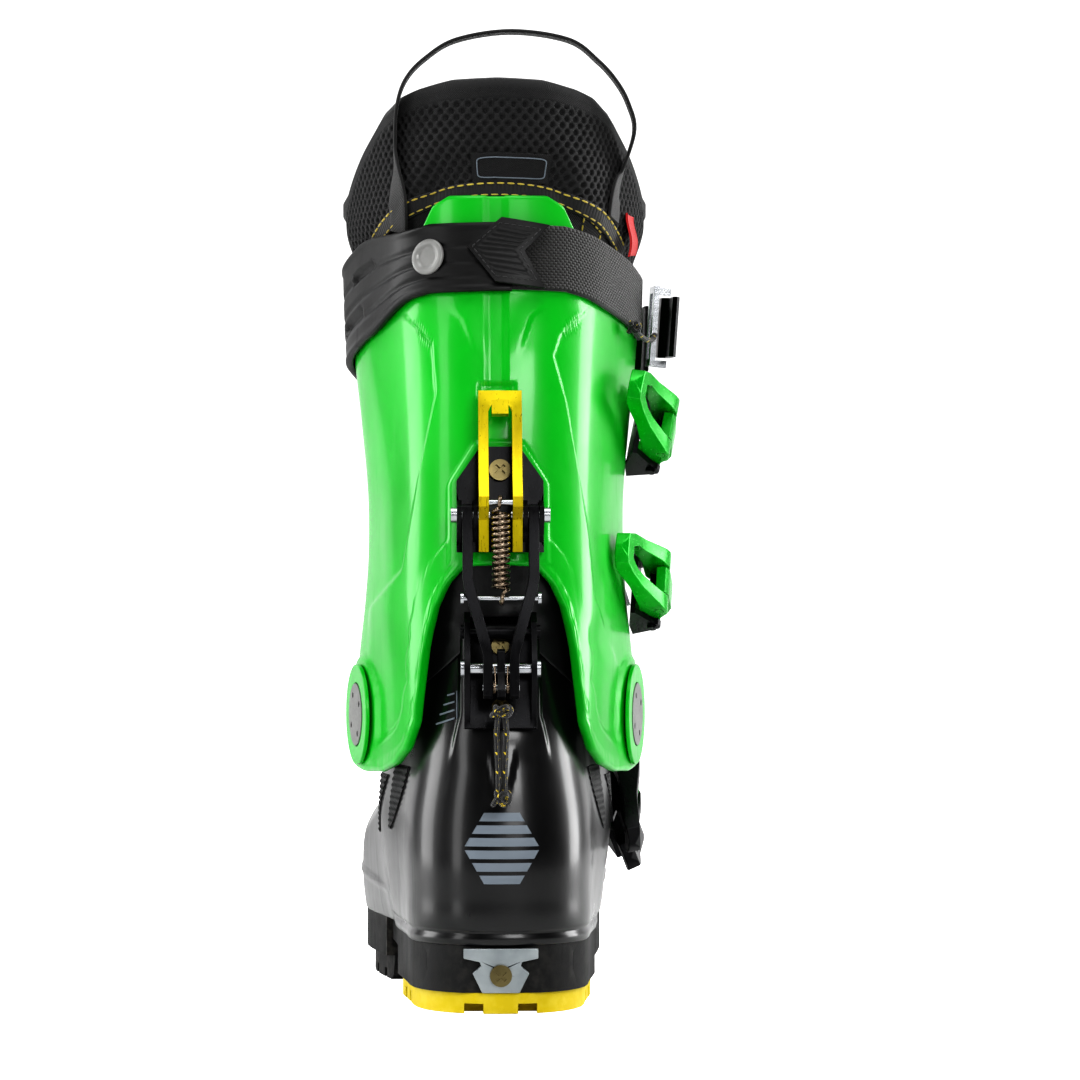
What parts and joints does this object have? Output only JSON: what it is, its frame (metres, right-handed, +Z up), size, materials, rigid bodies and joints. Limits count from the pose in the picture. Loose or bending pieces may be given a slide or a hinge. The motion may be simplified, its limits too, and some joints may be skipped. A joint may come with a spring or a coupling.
{
  "type": "alpine touring boot",
  "caption": "Right alpine touring boot: hinged cuff on a lower shell, rear walk-mode link with spring, lever buckles, power strap, removable liner and tech sockets.",
  "frame": {"origin": "on the floor under the middle of the heel tread, in the boot's centre plane", "axes": "+Z up, +Y from heel to toe, +X to the lateral side of a right boot"},
  "size_m": [0.1431, 0.3124, 0.403],
  "materials": {
    "shell_black": "glossy black moulded nylon",
    "cuff_green": "satin-gloss green moulded nylon",
    "sole_rubber": "matt black sole rubber",
    "tread_yellow": "matt yellow sole rubber",
    "steel": "bright zinc-plated steel",
    "tech_insert": "cast stainless tech insert",
    "alloy_black": "black anodised aluminium",
    "alloy_yellow": "yellow anodised aluminium",
    "alloy_green": "green painted magnesium",
    "screw_zinc": "yellow-zinc screw",
    "spring_wire": "bronze-toned spring wire",
    "liner_mesh": "black spacer mesh on foam",
    "liner_foam": "black foam liner",
    "webbing": "woven black webbing",
    "strap_rubber": "moulded strap rubber",
    "gaiter": "thin coated rear gaiter",
    "tag_red": "red woven tag",
    "cord": "black paracord with yellow flecks",
    "pivot_cap": "grey ribbed cap",
    "board": "grey moulded board"
  },
  "bodies": {
    "root": {"lower_shell": "shell_black", "instep_flap": "shell_black", "sole_shank": "shell_black", "outsole_front": "sole_rubber", "outsole_heel": "sole_rubber", "heel_tread": "tread_yellow", "toe_insert": "tech_insert", "heel_insert": "tech_insert", "heel_insert_screw": "screw_zinc", "boot_board": "board", "footbed": "liner_foam", "liner_foot": "liner_foam", "lower_bracket": "alloy_black", "lower_bracket_screw": "screw_zinc", "lock_pin": "steel", "bracket_roller": "alloy_black", "pivot_bolts": "steel", "instep_buckle_base": "alloy_black", "instep_ladder": "steel", "toe_buckle_base": "alloy_black", "toe_ladder": "steel"},
    "cuff": {"cuff_shell": "cuff_green", "pivot_washers": "cuff_green", "pivot_caps": "pivot_cap", "rear_gaiter": "gaiter", "cuff_bracket": "alloy_black", "cuff_bracket_screw": "screw_zinc", "link_pivot_pins": "steel", "liner_cuff": "liner_mesh", "liner_tongue": "liner_foam", "liner_band": "webbing", "pull_loop": "webbing", "side_tag": "tag_red", "power_strap_rubber": "strap_rubber", "strap_snap": "steel", "power_strap_webbing": "webbing", "strap_pull_tab": "strap_rubber", "cam_frame": "steel", "cam_cord": "cord", "upper_buckle_base": "alloy_black", "upper_ladder": "steel", "lower_buckle_base": "alloy_black", "lower_ladder": "steel"},
    "link": {"link_arms": "alloy_black", "link_cross_pin": "steel", "tension_spring": "spring_wire", "pull_cord": "cord", "cord_knots": "cord"},
    "latch": {"latch_hook": "alloy_black", "torsion_spring": "spring_wire"},
    "mode_lever": {"mode_lever": "alloy_yellow"},
    "cam_lever": {"cam_lever": "alloy_black"},
    "upper_lever": {"upper_lever": "alloy_green"},
    "upper_bail": {"upper_bail": "alloy_green"},
    "lower_lever": {"lower_lever": "alloy_green"},
    "lower_bail": {"lower_bail": "alloy_green"},
    "instep_lever": {"instep_lever": "alloy_black"},
    "instep_bail": {"instep_bail": "alloy_green"},
    "toe_lever": {"toe_lever": "alloy_black"},
    "toe_bail": {"toe_bail": "alloy_green"}
  },
  "joints": [
    {"name": "cuff_flex", "type": "hinge", "parent": "root", "child": "cuff", "pos_m": [0, 0.05, 0.117], "axis": [-1, 0, 0], "range_deg": [-10, 25]},
    {"name": "link_swing", "type": "hinge", "parent": "cuff", "child": "link", "pos_m": [0, -0.029, 0.2], "axis": [-1, 0, 0], "range_deg": [0, 55], "deforming": ["tension_spring"]},
    {"name": "latch_pull", "type": "hinge", "parent": "link", "child": "latch", "pos_m": [0, -0.0416, 0.131], "axis": [1, 0, 0], "range_deg": [0, 15]},
    {"name": "mode_flip", "type": "hinge", "parent": "cuff", "child": "mode_lever", "pos_m": [0, -0.029, 0.2], "axis": [1, 0, 0], "range_deg": [0, 20]},
    {"name": "upper_lever_open", "type": "hinge", "parent": "cuff", "child": "upper_lever", "pos_m": [0.0686, 0.072, 0.234], "axis": [0.1971, 0.4006, 0.8948], "range_deg": [0, 100]},
    {"name": "upper_bail_turn", "type": "hinge", "parent": "upper_lever", "child": "upper_bail", "pos_m": [0.07189, 0.06224, 0.23765], "axis": [0.1971, 0.4006, 0.8948], "range_deg": [-100, 0]},
    {"name": "lower_lever_open", "type": "hinge", "parent": "cuff", "child": "lower_lever", "pos_m": [0.067, 0.067, 0.1685], "axis": [0.0812, 0.3822, 0.9205], "range_deg": [0, 100]},
    {"name": "lower_bail_turn", "type": "hinge", "parent": "lower_lever", "child": "lower_bail", "pos_m": [0.06939, 0.05708, 0.17241], "axis": [0.0812, 0.3822, 0.9205], "range_deg": [-100, 0]},
    {"name": "instep_lever_open", "type": "hinge", "parent": "root", "child": "instep_lever", "pos_m": [0.0526, 0.112, 0.091], "axis": [-0.0593, -0.6063, 0.793], "range_deg": [0, 90]},
    {"name": "instep_bail_turn", "type": "hinge", "parent": "instep_lever", "child": "instep_bail", "pos_m": [0.05946, 0.105, 0.08616], "axis": [-0.0593, -0.6063, 0.793], "range_deg": [-90, 0]},
    {"name": "toe_lever_open", "type": "hinge", "parent": "root", "child": "toe_lever", "pos_m": [0.0534, 0.165, 0.071], "axis": [-0.3327, -0.4045, 0.8519], "range_deg": [0, 90]},
    {"name": "toe_bail_turn", "type": "hinge", "parent": "toe_lever", "child": "toe_bail", "pos_m": [0.05992, 0.15637, 0.06945], "axis": [-0.3327, -0.4045, 0.8519], "range_deg": [-90, 0]},
    {"name": "cam_open", "type": "hinge", "parent": "cuff", "child": "cam_lever", "pos_m": [0.0714, 0.08689, 0.28069], "axis": [0.0698, 0, 0.9976], "range_deg": [0, 60]}
  ],
  "couplings": [
    {"joint": "upper_bail_turn", "follows": "upper_lever_open", "ratio": -1},
    {"joint": "lower_bail_turn", "follows": "lower_lever_open", "ratio": -1},
    {"joint": "instep_bail_turn", "follows": "instep_lever_open", "ratio": -1},
    {"joint": "toe_bail_turn", "follows": "toe_lever_open", "ratio": -1}
  ]
}
